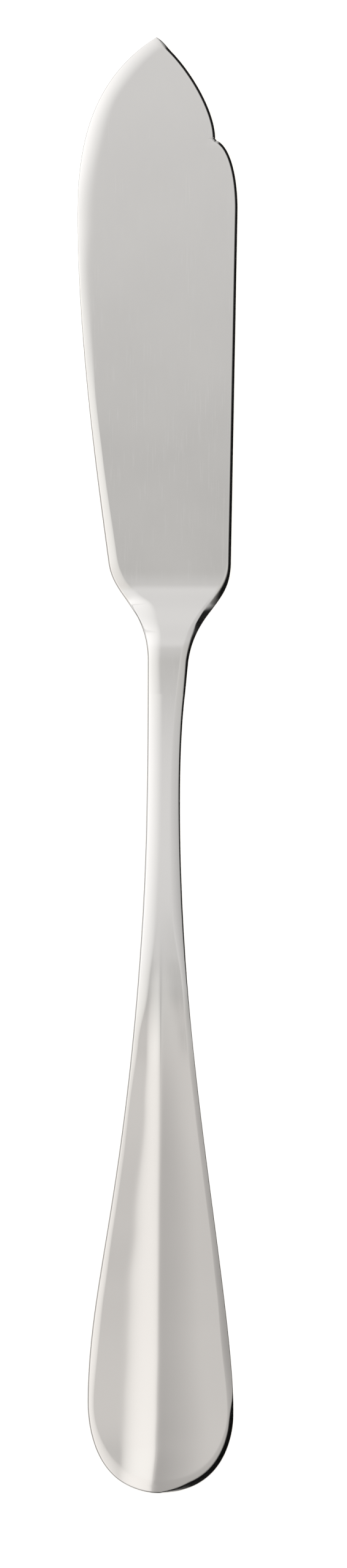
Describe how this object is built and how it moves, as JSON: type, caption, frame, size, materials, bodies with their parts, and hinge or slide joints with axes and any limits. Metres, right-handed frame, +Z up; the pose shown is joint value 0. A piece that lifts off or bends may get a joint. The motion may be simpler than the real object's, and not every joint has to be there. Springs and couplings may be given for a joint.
{
  "type": "fish knife",
  "caption": "Fish knife: flat spatula blade with a belly bevel and a notched back near the tip, on a slim bowed stem that widens into a rounded grip with a middle ridge.",
  "frame": {"origin": "centre of the knife's bounding box on the table, lying flat as it rests, face up", "axes": "+Y along the knife from the grip to the tip, +X towards the notched back of the blade, +Z up off the table"},
  "size_m": [0.023, 0.206, 0.0075],
  "materials": {
    "polished_steel": "soft polish",
    "braze_filler": "as melted"
  },
  "bodies": {
    "root": {"blade": "polished_steel", "handle": "polished_steel", "braze_joint": "braze_filler"}
  },
  "joints": []
}
